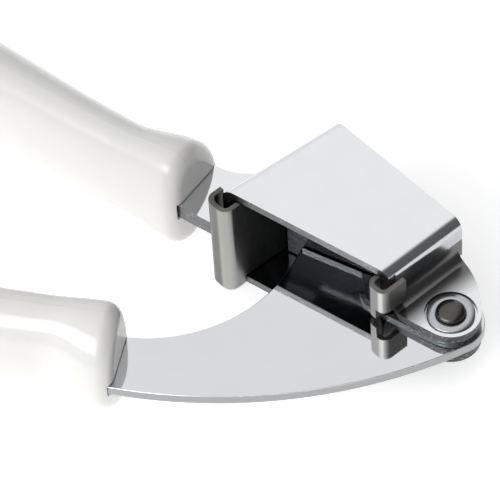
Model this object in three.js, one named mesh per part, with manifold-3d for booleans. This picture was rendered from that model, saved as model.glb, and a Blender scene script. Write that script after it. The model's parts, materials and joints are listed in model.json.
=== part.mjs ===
// Garlic press: a pressed-steel chamber arm with a hooked sieve insert, a crescent plunger arm on one
// rivet, and two moulded grips. Millimetres, +Z up. The origin is the middle of the chamber's flat
// underside. +X runs from the grips towards the pivot, and +Y is the way the garlic is pressed.

import * as THREE from 'three';
import { mergeVertices } from 'three/addons/utils/BufferGeometryUtils.js';
import Module from 'manifold-3d';

const wasm = await Module();
wasm.setup();

// ---------------------------------------------------------------- driving dimensions

const HEIGHT = 23.4; // over the two shells
const MID = HEIGHT / 2; // level of the plunger arm's middle plane
const SHELL_SHEET = 1.6;
const RIGHT_SIDE = 15.8; // outer face of the shells' right wall, across the chamber
const LEFT_FRONT = -18.4; // outer face of the left wall at its front and back ends: the box tapers
const LEFT_BACK = -16.5;
const LEFT_FRONT_DEPTH = -12.8; // where that front end is, along the pressing direction
const SIEVE_LEFT = -14.9; // middle of the insert's left wall at its front and back ends
const SIEVE_LEFT_BACK = -14.35;
const SHELL_BACK = 12.1; // back edge of the shells, along the pressing direction
const SHELL_FRONT_Y = -8.3; // front edge of the shells, which runs along X
const CHAMBER_LEAN = THREE.MathUtils.degToRad(13); // the chamber leans this far from +Y towards +X
const TOP_BEND = 0.7; // inner radius where the top plate turns down
const TANG_BEND = 1.3; // inner radius where the left wall turns out into the tang
const EAR_BEND = 2.4; // inner radius where the right wall turns out into the ear
const SEAM = 0.06; // between the two tang layers

const PIVOT = new THREE.Vector2(23.9, -4.05);
const EAR_RADIUS = 5.3;
const EAR_LEVEL = 1.9; // underside of the upper ear, above the middle plane

const ARM_SHEET = 2;
const ARM_END_RADIUS = 5.9;
const ARM_OUTER_RADIUS = 88;
const ARM_INNER_RADIUS = 27;
const ARM_ROOT_EDGE = new THREE.Vector2(-6.15, -8.8); // where the inner curve meets the straight edge

const PRESS_TILT = THREE.MathUtils.degToRad(5.5); // of the pressing face from X, at rest
const PRESS_REACH = 8.6; // from the pivot to the pressing face
const PRESS_NEAR = 12; // ends of the pressing face, measured along it from the pivot
const PRESS_FAR = 36.9;
const PRESS_RIM = 6.7; // how far the pressing wall runs past its flange at the far end
const PLUNGER_SHEET = 0.75;
const PLUNGER_BEND = 0.6;
const PLUNGER_ROOF_GAP = 0.45; // between the plunger and the shell above it
const LAYER_GAP = 0.02; // between plates that are fastened face to face
const THROUGH = 1; // how far a cutter runs past the surface that it cuts through

const SIEVE_SHEET = 0.9;
const SIEVE_SIDE_GAP = 0.15; // least gap between the insert and the shells' side walls
const SIEVE_BACK_INSET = 0.9; // of the perforated wall inside the shells' back edge
const SIEVE_ROOF_GAP = 0.4;
const HOLE_RADIUS = 0.85;
const HOLE_PITCH = 2.75;
const HOLE_COLUMNS = 9;
const HOLE_ROWS = 7;
const HOLE_STEPS = 4; // segments of a half turn
const DRILL_DEPTH = 4;

const RIVET_RADIUS = 2.1;
const RIVET_HEAD_RADIUS = 2.6;
const RIVET_HEAD_HEIGHT = 1.2;
const RIVET_CLEARANCE = 0.12;
const WASHER_RADIUS = 4.2;
const WASHER_SHEET = 0.5;
const COUNTERBORE_RADIUS = 4.6;
const WASHER_STEPS = 16; // segments of a half turn

const GRIP_LENGTH = 112;
const GRIP_OUTER_POWER = 2; // superellipse exponents of the two sides of its section
const GRIP_INNER_POWER = 2.8;
const GRIP_CREASE = 0.04; // slope of the crown on both sides of the mould's parting line
const TANG_LENGTH = 70; // of the strap inside the grip
const SLOT_GAP = 0.3; // between a tang and the slot it sits in

const CHAMBER_GRIP_FRONT = new THREE.Vector2(-29.9, -3.8);
const CHAMBER_GRIP_HEADING = Math.PI;
const PLUNGER_GRIP_FRONT = new THREE.Vector2(-18.8, -42.05);
const PLUNGER_GRIP_HEADING = THREE.MathUtils.degToRad(203);

const ROUND_STEPS = 12; // segments of a half turn
const BEND_STEPS = 6; // segments of one bend in sheet

// ---------------------------------------------------------------- directions and places

const along = (angle) => new THREE.Vector2(Math.cos(angle), Math.sin(angle));

const ACROSS_CHAMBER = along(-CHAMBER_LEAN);
const PRESSING = along(Math.PI / 2 - CHAMBER_LEAN);

const PRESS_NORMAL = along(Math.PI / 2 + PRESS_TILT);
const PRESS_OUTWARD = along(Math.PI + PRESS_TILT);

// A point of the chamber from its distance across the chamber and along the pressing direction.
function chamberPoint(across, deep) {
  return ACROSS_CHAMBER.clone().multiplyScalar(across).addScaledVector(PRESSING, deep);
}

// The outer face of the left wall at one depth, across the chamber.
function leftSide(deep) {
  const share = (deep - LEFT_FRONT_DEPTH) / (SHELL_BACK - LEFT_FRONT_DEPTH);
  return THREE.MathUtils.lerp(LEFT_FRONT, LEFT_BACK, share);
}

// A point of the plunger from its distance along the pressing face and towards it, off the pivot.
function plungerPoint(outward, forward) {
  return PIVOT.clone().addScaledVector(PRESS_OUTWARD, outward).addScaledVector(PRESS_NORMAL, forward);
}

// A grip's own frame: its front middle, the way it runs, and the side that the palm or fingers hold.
function gripFrame(front, heading, outerTurn) {
  return { front, axis: along(heading), outer: along(heading + outerTurn) };
}

function gripPoint(frame, distance, outward) {
  return frame.front.clone().addScaledVector(frame.axis, distance).addScaledVector(frame.outer, outward);
}

const CHAMBER_GRIP = gripFrame(CHAMBER_GRIP_FRONT, CHAMBER_GRIP_HEADING, -Math.PI / 2);
const PLUNGER_GRIP = gripFrame(PLUNGER_GRIP_FRONT, PLUNGER_GRIP_HEADING, Math.PI / 2);

// ---------------------------------------------------------------- solids

function solidOf(geometry) {
  const bare = geometry.clone();
  bare.deleteAttribute('normal');
  bare.deleteAttribute('uv');
  const merged = mergeVertices(bare, 1e-5);
  return new wasm.Manifold(new wasm.Mesh({
    numProp: 3,
    vertProperties: new Float32Array(merged.attributes.position.array),
    triVerts: new Uint32Array(merged.index.array),
  }));
}

function geometryOf(solid) {
  const mesh = solid.getMesh();
  const geometry = new THREE.BufferGeometry();
  geometry.setAttribute('position', new THREE.Float32BufferAttribute(mesh.vertProperties, 3));
  geometry.setIndex(new THREE.Uint32BufferAttribute(mesh.triVerts, 1));
  const faceted = geometry.toNonIndexed();
  faceted.computeVertexNormals();
  return faceted;
}

// A flat shape made solid between two levels.
function plate(shape, low, high, curveSegments = ROUND_STEPS) {
  const geometry = new THREE.ExtrudeGeometry(shape, {
    depth: high - low,
    bevelEnabled: false,
    curveSegments,
  });
  return solidOf(geometry.translate(0, 0, low));
}

// A section drawn in (sideways, Z), run through from one distance to another along a level direction.
function run(section, sideways, direction, from, to, curveSegments = ROUND_STEPS) {
  const geometry = new THREE.ExtrudeGeometry(section, {
    depth: to - from,
    bevelEnabled: false,
    curveSegments,
  });
  const frame = new THREE.Matrix4().makeBasis(
    new THREE.Vector3(sideways.x, sideways.y, 0),
    new THREE.Vector3(0, 0, 1),
    new THREE.Vector3(-direction.x, -direction.y, 0),
  );
  frame.setPosition(direction.x * to, direction.y * to, 0);
  return solidOf(geometry.applyMatrix4(frame));
}

function disc(centre, radius, low, high, steps = ROUND_STEPS) {
  const shape = new THREE.Shape();
  shape.absarc(centre.x, centre.y, radius, 0, 2 * Math.PI);
  return plate(shape, low, high, steps);
}

// The edge view of bent sheet: straight runs between corners, each corner [x, y, inner radius] rounded.
function bentSheet(corners, thickness, steps = BEND_STEPS) {
  const left = [];
  const right = [];
  const put = (point, normal) => {
    left.push(point.clone().addScaledVector(normal, thickness / 2));
    right.push(point.clone().addScaledVector(normal, -thickness / 2));
  };
  const at = (index) => new THREE.Vector2(corners[index][0], corners[index][1]);
  const heading = (index) => at(index + 1).sub(at(index)).angle();
  put(at(0), along(heading(0) + Math.PI / 2));
  for (let index = 1; index < corners.length - 1; index += 1) {
    const before = heading(index - 1);
    const turn = Math.atan2(Math.sin(heading(index) - before), Math.cos(heading(index) - before));
    const radius = corners[index][2] + thickness / 2;
    const start = at(index).addScaledVector(along(before), -radius * Math.tan(Math.abs(turn) / 2));
    const side = Math.sign(turn);
    const centre = start.clone().addScaledVector(along(before + Math.PI / 2), side * radius);
    for (let step = 0; step <= steps; step += 1) {
      const normal = along(before + (turn * step) / steps + Math.PI / 2);
      put(centre.clone().addScaledVector(normal, -side * radius), normal);
    }
  }
  const last = corners.length - 1;
  put(at(last), along(heading(last - 1) + Math.PI / 2));
  return new THREE.Shape([...left, ...right.reverse()]);
}

// The centre of a circle of one radius about one point and another radius about another point.
function meetingPoint(first, firstRadius, second, secondRadius, side) {
  const between = second.clone().sub(first);
  const distance = between.length();
  const forward = (firstRadius ** 2 - secondRadius ** 2 + distance ** 2) / (2 * distance);
  const sideways = side * Math.sqrt(firstRadius ** 2 - forward ** 2);
  const direction = between.normalize();
  const normal = new THREE.Vector2(-direction.y, direction.x);
  return first.clone().addScaledVector(direction, forward).addScaledVector(normal, sideways);
}

const angleFrom = (centre, point) => point.clone().sub(centre).angle();

// ---------------------------------------------------------------- tangs and grips

const STRAP_INNER = -4.8; // the strap's edges, off the grip's middle
const STRAP_OUTER = 1.8;
const SHOULDER_START = 4; // where a tang narrows from its full width to the strap
const SHOULDER_END = 7;

// The corners of a tang from its full width at the grip's front face to the blunt end of its strap,
// given as [distance into the grip, outward], going down the outer side and back up the inner side.
function tangCorners(innerEdge, outerEdge, grow = 0) {
  return [
    [SHOULDER_START, outerEdge + grow],
    [SHOULDER_END + grow, STRAP_OUTER + grow],
    [TANG_LENGTH + grow, STRAP_OUTER + grow],
    [TANG_LENGTH + grow, STRAP_INNER - grow],
    [SHOULDER_END + grow, STRAP_INNER - grow],
    [SHOULDER_START, innerEdge - grow],
  ];
}

const smooth = (share) => share * share * (3 - 2 * share);

// [distance from the front, inner side, crown, outer side, half height]
const GRIP_STATIONS = [
  [0, -7.5, -2, 7.4, 11.3],
  [3, -7.5, -2, 7.4, 11.3],
  [14, -7.3, -2.4, 4.4, 10.5],
  [66, -7.6, -1.8, 7.4, 11.4],
  [100, -7.2, -1.8, 5, 10.3],
  [GRIP_LENGTH, -6.7, -1.8, 3.8, 9.4],
];
const GRIP_FRONT_ROUND = 3;
const GRIP_TAIL_ROUND = 9;
const GRIP_TAIL_INSET = 0.45; // share of the tail's rounding that is taken off its sides
const GRIP_STEPS = 20; // rings along its body
const GRIP_FRONT_STEPS = 4;
const GRIP_TAIL_STEPS = 6;
const RING_STEPS = 32;

function gripSection(distance) {
  let index = 0;
  while (index < GRIP_STATIONS.length - 2 && distance > GRIP_STATIONS[index + 1][0]) {
    index += 1;
  }
  const [start, ...from] = GRIP_STATIONS[index];
  const [end, ...to] = GRIP_STATIONS[index + 1];
  const share = smooth((distance - start) / (end - start));
  const values = from.map((value, slot) => THREE.MathUtils.lerp(value, to[slot], share));
  const [inner, crown, outer, half] = values;
  const front = Math.max(0, 1 - distance / GRIP_FRONT_ROUND);
  const tail = Math.max(0, 1 - (GRIP_LENGTH - distance) / GRIP_TAIL_ROUND);
  const inset = GRIP_FRONT_ROUND * (1 - Math.sqrt(1 - front ** 2))
    + GRIP_TAIL_ROUND * GRIP_TAIL_INSET * (1 - Math.sqrt(1 - tail ** 2));
  return {
    crown,
    innerWidth: crown - inner - inset,
    outerWidth: outer - crown - inset,
    halfHeight: half - inset,
  };
}

function gripDistances() {
  const distances = [];
  for (let step = 0; step <= GRIP_FRONT_STEPS; step += 1) {
    distances.push(GRIP_FRONT_ROUND * (1 - Math.cos((step / GRIP_FRONT_STEPS) * (Math.PI / 2))));
  }
  const tailStart = GRIP_LENGTH - GRIP_TAIL_ROUND;
  for (let step = 1; step < GRIP_STEPS; step += 1) {
    distances.push(THREE.MathUtils.lerp(GRIP_FRONT_ROUND, tailStart, step / GRIP_STEPS));
  }
  for (let step = 0; step <= GRIP_TAIL_STEPS; step += 1) {
    distances.push(tailStart + GRIP_TAIL_ROUND * Math.sin((step / GRIP_TAIL_STEPS) * (Math.PI / 2)));
  }
  return distances;
}

// Closes a stack of equal rings of points into one skin, with a fan over each end.
function loft(rings) {
  const count = rings[0].length;
  const positions = rings.flat().flatMap((point) => point.toArray());
  const index = [];
  for (let ring = 0; ring < rings.length - 1; ring += 1) {
    for (let side = 0; side < count; side += 1) {
      const next = (side + 1) % count;
      const low = ring * count;
      const high = low + count;
      index.push(low + side, low + next, high + next, low + side, high + next, high + side);
    }
  }
  for (let side = 1; side < count - 1; side += 1) {
    const high = (rings.length - 1) * count;
    index.push(0, side + 1, side, high, high + side, high + side + 1);
  }
  const geometry = new THREE.BufferGeometry();
  geometry.setAttribute('position', new THREE.Float32BufferAttribute(positions, 3));
  geometry.setIndex(index);
  return geometry;
}

// A point of a grip's section at one angle, as [outward, height above the middle plane].
function sectionPoint(section, angle) {
  const outside = Math.cos(angle) > 0;
  const power = 2 / (outside ? GRIP_OUTER_POWER : GRIP_INNER_POWER);
  const width = outside ? section.outerWidth : -section.innerWidth;
  const sideways = Math.abs(Math.cos(angle)) ** power;
  const upward = Math.sign(Math.sin(angle)) * Math.abs(Math.sin(angle)) ** power;
  return [section.crown + width * sideways, section.halfHeight * upward * (1 - GRIP_CREASE * sideways)];
}

function gripBody(frame) {
  const turning = Math.sign(frame.axis.cross(frame.outer));
  const rings = gripDistances().map((distance) => {
    const section = gripSection(distance);
    return Array.from({ length: RING_STEPS }, (_, step) => {
      const [outward, height] = sectionPoint(section, (turning * 2 * Math.PI * step) / RING_STEPS);
      const place = gripPoint(frame, distance, outward);
      return new THREE.Vector3(place.x, place.y, MID + height);
    });
  });
  return solidOf(loft(rings));
}

function grip(frame, innerEdge, outerEdge, halfThickness) {
  const mouth = [
    [-THROUGH, innerEdge - SLOT_GAP],
    [-THROUGH, outerEdge + SLOT_GAP],
  ];
  const corners = [...mouth, ...tangCorners(innerEdge, outerEdge, SLOT_GAP)];
  const outline = new THREE.Shape(corners.map(([distance, outward]) => gripPoint(frame, distance, outward)));
  const reach = halfThickness + SLOT_GAP;
  return gripBody(frame).subtract(plate(outline, MID - reach, MID + reach));
}

// ---------------------------------------------------------------- chamber arm

const TANG_INNER = -5.5; // edges of the chamber arm's tang, off its grip's middle
const TANG_OUTER = 5.6;
const FRONT_LEFT = new THREE.Vector2(-21.2, SHELL_FRONT_Y); // where the tang runs into the front edge
const TANG_STEP = 1; // length of the slant between the tang's edge and the front edge
const EAR_ROOT = new THREE.Vector2(15, SHELL_FRONT_Y); // where the front edge turns into the ear
const EAR_ROOT_CURVE = [1, 3.5]; // along X: handle and end of that turn
const EAR_TURN = THREE.MathUtils.degToRad(40); // where the ear's round end passes into its back edge
const EAR_BACK_HANDLE = new THREE.Vector2(-0.2, 9.6); // off the pivot
const BACK_CORNER = 1.2; // straight part beside each back corner of the box
const WEB_HANDLES = [[-4.5, -7], [11, 0]]; // of the curve from the box's back corner to the tang
const WEB_END = 4.4; // where that curve meets the tang, off the narrowing of the tang
const SECTION_ENDS = [-130, 40]; // the section reaches past the plan on both sides
const SECTION_RUN = [-50, 30];

// The plan of a shell: tang, box and pivot ear in one blank.
function shellOutline() {
  const outline = new THREE.Shape();
  const corners = tangCorners(TANG_INNER, TANG_OUTER);
  const places = corners.map(([distance, outward]) => gripPoint(CHAMBER_GRIP, distance, outward));
  const tangEdge = CHAMBER_GRIP_FRONT.y + TANG_INNER;
  const earFront = PIVOT.y - EAR_RADIUS;
  const earHandle = PIVOT.clone().add(EAR_BACK_HANDLE);
  const earBack = chamberPoint(RIGHT_SIDE, SHELL_BACK - BACK_CORNER);
  const backRight = chamberPoint(RIGHT_SIDE, SHELL_BACK);
  const backLeft = chamberPoint(LEFT_BACK, SHELL_BACK);
  const webStart = chamberPoint(LEFT_BACK - BACK_CORNER, SHELL_BACK - BACK_CORNER);
  const [webLeave, webArrive] = WEB_HANDLES;
  const [rootHandle, rootEnd] = EAR_ROOT_CURVE;
  outline.setFromPoints(places);
  outline.lineTo(FRONT_LEFT.x - TANG_STEP, tangEdge);
  outline.lineTo(FRONT_LEFT.x, FRONT_LEFT.y);
  outline.lineTo(EAR_ROOT.x, EAR_ROOT.y);
  outline.quadraticCurveTo(EAR_ROOT.x + rootHandle, earFront, EAR_ROOT.x + rootEnd, earFront);
  outline.lineTo(PIVOT.x, earFront);
  outline.absarc(PIVOT.x, PIVOT.y, EAR_RADIUS, -Math.PI / 2, EAR_TURN);
  outline.quadraticCurveTo(earHandle.x, earHandle.y, earBack.x, earBack.y);
  outline.lineTo(backRight.x, backRight.y);
  outline.lineTo(backLeft.x, backLeft.y);
  outline.lineTo(webStart.x, webStart.y);
  outline.bezierCurveTo(
    webStart.x + webLeave[0], webStart.y + webLeave[1],
    places[0].x + webArrive[0], places[0].y + webArrive[1],
    places[0].x + WEB_END, places[0].y,
  );
  return outline;
}

// Slants everything left of the chamber's middle along the left wall's taper.
function taperLeft(place) {
  const point = new THREE.Vector2(place[0], place[1]);
  if (point.dot(ACROSS_CHAMBER) < 0) {
    const shift = leftSide(point.dot(PRESSING)) - leftSide(0);
    place[0] += ACROSS_CHAMBER.x * shift;
    place[1] += ACROSS_CHAMBER.y * shift;
  }
}

// One shell. Upward is 1 for the upper shell and -1 for the lower one.
function shell(upward) {
  const left = leftSide(0) + SHELL_SHEET / 2;
  const right = RIGHT_SIDE - SHELL_SHEET / 2;
  const level = (height) => MID + upward * height;
  const tang = level((SEAM + SHELL_SHEET) / 2);
  const roof = level(MID - SHELL_SHEET / 2);
  const ear = level(EAR_LEVEL + SHELL_SHEET / 2);
  const section = bentSheet([
    [SECTION_ENDS[0], tang],
    [left, tang, TANG_BEND],
    [left, roof, TOP_BEND],
    [right, roof, TOP_BEND],
    [right, ear, EAR_BEND],
    [SECTION_ENDS[1], ear],
  ], SHELL_SHEET);
  const counterbore = EAR_LEVEL + SHELL_SHEET - WASHER_SHEET;
  const recess = [level(counterbore), level(counterbore + THROUGH)].sort((one, other) => one - other);
  return run(section, ACROSS_CHAMBER, PRESSING, ...SECTION_RUN)
    .warp(taperLeft)
    .intersect(plate(shellOutline(), 0, HEIGHT))
    .subtract(disc(PIVOT, RIVET_RADIUS + RIVET_CLEARANCE, 0, HEIGHT))
    .subtract(disc(PIVOT, COUNTERBORE_RADIUS, ...recess, WASHER_STEPS));
}

// ---------------------------------------------------------------- sieve insert

const HOOK_LEFT_REACH = -19.4; // middle of the outer leg, across the chamber
const HOOK_LEFT_FRONT = -15.35;
const HOOK_LEFT_END = -12;
const HOOK_RIGHT_REACH = 17.2;
const HOOK_RIGHT_FRONT = -7.7;
const HOOK_RIGHT_END = -2.8;
const HOOK_BEND = 1; // inner radii of the strip's bends
const HOOK_RIGHT_BEND = 0.8;
const CORNER_BEND = 1;
const STRIP_BEND_STEPS = 4;
const SIEVE_MIDDLE = -0.6; // of the perforated field, across the chamber
const STRIP_LOW = 0.2; // the strip's edges at its hooks
const STRIP_HIGH = HEIGHT - 1.5;
const HOOK_CLEAR = 0.3; // a hook's step stands this far off the shells' front edge
const CHAMBER_FRONT = -12; // well in front of every chamber wall, along the pressing direction
const INSIDE_FRONT_RIGHT = -4.5; // where the inside of the right wall meets the front edge
const ARM_SLOT_HALF = 2.35; // half height of the slot that the plunger arm passes through
const ARM_SLOT_DEPTH = 9;
const ARM_SLOT_SIDES = [RIGHT_SIDE - 4.6, RIGHT_SIDE + 5.4];
const EAR_NOTCH_HALF = 4.8; // the right hooks' outer legs stop short of the ears
const EAR_NOTCH_SIDES = [RIGHT_SIDE - 0.2, RIGHT_SIDE + 3.8];
const TANG_NOTCH_HALF = 2; // the left hook's outer leg straddles the tang
const TANG_NOTCH_START = -9.7;
const TANG_NOTCH_DEPTH = 6;
const TANG_NOTCH_WIDTH = 4;

function sieveSection() {
  const inset = SHELL_SHEET + SIEVE_SIDE_GAP + SIEVE_SHEET / 2;
  const right = RIGHT_SIDE - inset;
  const back = SHELL_BACK - SIEVE_BACK_INSET - SIEVE_SHEET / 2;
  return bentSheet([
    [HOOK_LEFT_REACH, HOOK_LEFT_END],
    [HOOK_LEFT_REACH, HOOK_LEFT_FRONT, HOOK_BEND],
    [SIEVE_LEFT, HOOK_LEFT_FRONT, HOOK_BEND],
    [SIEVE_LEFT_BACK, back, CORNER_BEND],
    [right, back, CORNER_BEND],
    [right, HOOK_RIGHT_FRONT, HOOK_RIGHT_BEND],
    [HOOK_RIGHT_REACH, HOOK_RIGHT_FRONT, HOOK_RIGHT_BEND],
    [HOOK_RIGHT_REACH, HOOK_RIGHT_END],
  ], SIEVE_SHEET, STRIP_BEND_STEPS);
}

// Shortens the insert to the inside height wherever it is behind the shells' front edge.
function insideTrim(low, high) {
  const front = SHELL_FRONT_Y - HOOK_CLEAR;
  const left = SIEVE_LEFT - SIEVE_SHEET / 2 - SIEVE_SIDE_GAP;
  const right = RIGHT_SIDE - SHELL_SHEET;
  const corners = [
    new THREE.Vector2(chamberPoint(left, CHAMBER_FRONT).x, front),
    new THREE.Vector2(chamberPoint(right, INSIDE_FRONT_RIGHT).x, front),
    chamberPoint(right, SHELL_BACK),
    chamberPoint(left, SHELL_BACK),
  ];
  return plate(new THREE.Shape(corners), low, high);
}

// The row of holes at one level: every other row is shifted by half a pitch and has one hole less.
function holeRow(row) {
  const shifted = row % 2;
  const columns = HOLE_COLUMNS - shifted;
  const height = MID + (row - (HOLE_ROWS - 1) / 2) * HOLE_PITCH;
  return Array.from({ length: columns }, (_, column) => ({
    across: SIEVE_MIDDLE + (column - (columns - 1) / 2) * HOLE_PITCH,
    height,
  }));
}

function sieveHoles() {
  const middles = Array.from({ length: HOLE_ROWS }, (_, row) => holeRow(row)).flat();
  return middles.map(({ across, height }) => {
    const hole = new THREE.Shape();
    hole.absarc(across, height, HOLE_RADIUS, 0, 2 * Math.PI);
    return run(hole, ACROSS_CHAMBER, PRESSING, SHELL_BACK - DRILL_DEPTH, SHELL_BACK, HOLE_STEPS);
  }).reduce((all, hole) => all.add(hole));
}

// A block across the chamber, as high above the middle plane as below it.
function chamberBlock([near, far], shallow, deep, halfHeight) {
  const corners = [
    chamberPoint(near, shallow),
    chamberPoint(far, shallow),
    chamberPoint(far, deep),
    chamberPoint(near, deep),
  ];
  return plate(new THREE.Shape(corners), MID - halfHeight, MID + halfHeight);
}

// Room for the tang through the left hook's outer leg.
function tangNotch() {
  const right = chamberPoint(LEFT_FRONT, CHAMBER_FRONT).x;
  const left = right - TANG_NOTCH_WIDTH;
  const back = TANG_NOTCH_START + TANG_NOTCH_DEPTH;
  const corners = [
    new THREE.Vector2(left, TANG_NOTCH_START),
    new THREE.Vector2(right, TANG_NOTCH_START),
    new THREE.Vector2(right, back),
    new THREE.Vector2(left, back),
  ];
  return plate(new THREE.Shape(corners), MID - TANG_NOTCH_HALF, MID + TANG_NOTCH_HALF);
}

function sieveInsert() {
  const turned = sieveSection().getPoints().map((point) => chamberPoint(point.x, point.y));
  const sheet = plate(new THREE.Shape(turned), STRIP_LOW, STRIP_HIGH);
  const inside = SHELL_SHEET + SIEVE_ROOF_GAP;
  return sheet
    .subtract(insideTrim(0, inside))
    .subtract(insideTrim(HEIGHT - inside, HEIGHT))
    .subtract(chamberBlock(ARM_SLOT_SIDES, CHAMBER_FRONT, ARM_SLOT_DEPTH, ARM_SLOT_HALF))
    .subtract(chamberBlock(EAR_NOTCH_SIDES, CHAMBER_FRONT, ARM_SLOT_DEPTH, EAR_NOTCH_HALF))
    .subtract(tangNotch())
    .subtract(sieveHoles());
}

// ---------------------------------------------------------------- plunger arm

const ARM_TANG_INNER = -5; // edges of the arm where it enters its grip, off the grip's middle
const ARM_TANG_OUTER = 6.1;
const ARM_WAIST = 7.2; // reach of the plate towards the press, beside the pivot
const ARM_LEDGE = 6.5; // front edge of the strip that closes the far end of the pressing face
const FLANGE_FRONT = 1.7; // front edge of the plunger's base flange
const FLANGE_INSET = 0.1; // of the flange inside the ears and behind the pressing face
const LEDGE_OVERLAP = 0.6; // of the ledge with the flange, along the pressing face
const LOBE = { outward: 13, forward: 0.1, radius: 4.4 };
const LOBE_STEP = 1; // straight front edge left before the lobe
const PLUNGER_SECTION_FRONT = -12; // the section reaches past the flange on every side
const PLUNGER_RUN_START = -10;

function arcBetween(outline, centre, from, to, clockwise) {
  const radius = centre.distanceTo(from);
  outline.absarc(centre.x, centre.y, radius, angleFrom(centre, from), angleFrom(centre, to), clockwise);
}

// The crescent plate: tang, outer curve, pivot end, pressing edge, and inner curve back to the tang.
function armOutline() {
  const corners = tangCorners(ARM_TANG_INNER, ARM_TANG_OUTER);
  const places = corners.map(([distance, outward]) => gripPoint(PLUNGER_GRIP, distance, outward)).reverse();
  const innerRoot = gripPoint(PLUNGER_GRIP, 0, ARM_TANG_INNER);
  const outerRoot = gripPoint(PLUNGER_GRIP, 0, ARM_TANG_OUTER);
  const outerReach = ARM_OUTER_RADIUS - ARM_END_RADIUS;
  const outerCentre = meetingPoint(outerRoot, ARM_OUTER_RADIUS, PIVOT, outerReach, 1);
  const touch = PIVOT.clone().sub(outerCentre).setLength(ARM_OUTER_RADIUS).add(outerCentre);
  const innerCentre = meetingPoint(innerRoot, ARM_INNER_RADIUS, ARM_ROOT_EDGE, ARM_INNER_RADIUS, 1);
  const outline = new THREE.Shape();
  outline.moveTo(innerRoot.x, innerRoot.y);
  places.forEach((place) => outline.lineTo(place.x, place.y));
  outline.lineTo(outerRoot.x, outerRoot.y);
  arcBetween(outline, outerCentre, outerRoot, touch, false);
  arcBetween(outline, PIVOT, touch, plungerPoint(0, ARM_END_RADIUS), false);
  [
    plungerPoint(PRESS_NEAR, ARM_WAIST),
    plungerPoint(PRESS_NEAR, PRESS_REACH),
    plungerPoint(PRESS_FAR, PRESS_REACH),
    plungerPoint(PRESS_FAR, ARM_LEDGE),
    plungerPoint(PRESS_FAR - PRESS_RIM + LEDGE_OVERLAP, ARM_LEDGE),
    ARM_ROOT_EDGE,
  ].forEach((place) => outline.lineTo(place.x, place.y));
  arcBetween(outline, innerCentre, ARM_ROOT_EDGE, innerRoot, true);
  return outline;
}

function armPlate() {
  const outline = armOutline();
  return plate(outline, MID - ARM_SHEET / 2, MID + ARM_SHEET / 2)
    .subtract(disc(PIVOT, RIVET_RADIUS + RIVET_CLEARANCE, 0, HEIGHT));
}

// The base flange in plan: a straight front edge, then a round lobe, then the pivot end.
function flangeOutline() {
  const lobe = plungerPoint(LOBE.outward, LOBE.forward);
  const flangeEnd = EAR_RADIUS - FLANGE_INSET;
  const lobeTop = plungerPoint(LOBE.outward + LOBE.radius, LOBE.forward);
  const lobeFoot = plungerPoint(LOBE.outward, LOBE.forward - LOBE.radius);
  const pivotFoot = plungerPoint(0, -flangeEnd);
  const outline = new THREE.Shape();
  const start = plungerPoint(PRESS_FAR - PRESS_RIM, PRESS_REACH - FLANGE_INSET);
  outline.moveTo(start.x, start.y);
  [
    plungerPoint(PRESS_FAR - PRESS_RIM, FLANGE_FRONT),
    plungerPoint(LOBE.outward + LOBE.radius + LOBE_STEP, FLANGE_FRONT),
  ].forEach((place) => outline.lineTo(place.x, place.y));
  outline.lineTo(lobeTop.x, lobeTop.y);
  arcBetween(outline, lobe, lobeTop, lobeFoot, false);
  arcBetween(outline, PIVOT, pivotFoot, plungerPoint(0, flangeEnd), false);
  const waist = plungerPoint(PRESS_NEAR, ARM_WAIST);
  const wallEnd = plungerPoint(PRESS_NEAR, PRESS_REACH - FLANGE_INSET);
  outline.lineTo(waist.x, waist.y);
  outline.lineTo(wallEnd.x, wallEnd.y);
  return outline;
}

function wallOutline() {
  return new THREE.Shape([
    plungerPoint(PRESS_NEAR, PRESS_REACH - PLUNGER_SHEET - PLUNGER_BEND),
    plungerPoint(PRESS_NEAR, PRESS_REACH),
    plungerPoint(PRESS_FAR, PRESS_REACH),
    plungerPoint(PRESS_FAR, PRESS_REACH - PLUNGER_SHEET),
    plungerPoint(PRESS_FAR - PRESS_RIM, PRESS_REACH - PLUNGER_SHEET),
    plungerPoint(PRESS_FAR - PRESS_RIM, PRESS_REACH - PLUNGER_SHEET - PLUNGER_BEND),
  ]);
}

// One plunger stamping: a flange on the arm plate, turned up (or down) into half the pressing wall.
function plunger(upward) {
  const base = MID + upward * (ARM_SHEET / 2 + LAYER_GAP + PLUNGER_SHEET / 2);
  const rim = MID + upward * (MID - SHELL_SHEET - PLUNGER_ROOF_GAP);
  const face = PRESS_REACH - PLUNGER_SHEET / 2;
  const pivotDepth = PIVOT.dot(PRESS_NORMAL);
  const pivotSide = PIVOT.dot(PRESS_OUTWARD);
  const section = bentSheet([
    [pivotDepth + PLUNGER_SECTION_FRONT, base],
    [pivotDepth + face, base, PLUNGER_BEND],
    [pivotDepth + face, rim],
  ], PLUNGER_SHEET);
  const runStart = pivotSide + PLUNGER_RUN_START;
  return run(section, PRESS_NORMAL, PRESS_OUTWARD, runStart, pivotSide + PRESS_FAR + THROUGH)
    .intersect(plate(flangeOutline(), 0, HEIGHT).add(plate(wallOutline(), 0, HEIGHT)))
    .subtract(disc(PIVOT, RIVET_RADIUS + RIVET_CLEARANCE, 0, HEIGHT));
}

// ---------------------------------------------------------------- pivot

const EAR_TOP = EAR_LEVEL + SHELL_SHEET; // above and below the middle plane
const HEAD_GAP = 0.02; // between the rivet's heads and the washers
const HEAD_RIM = 0.35; // upright rim under the dome of a head
const DOME_STEPS = 5;

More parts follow.
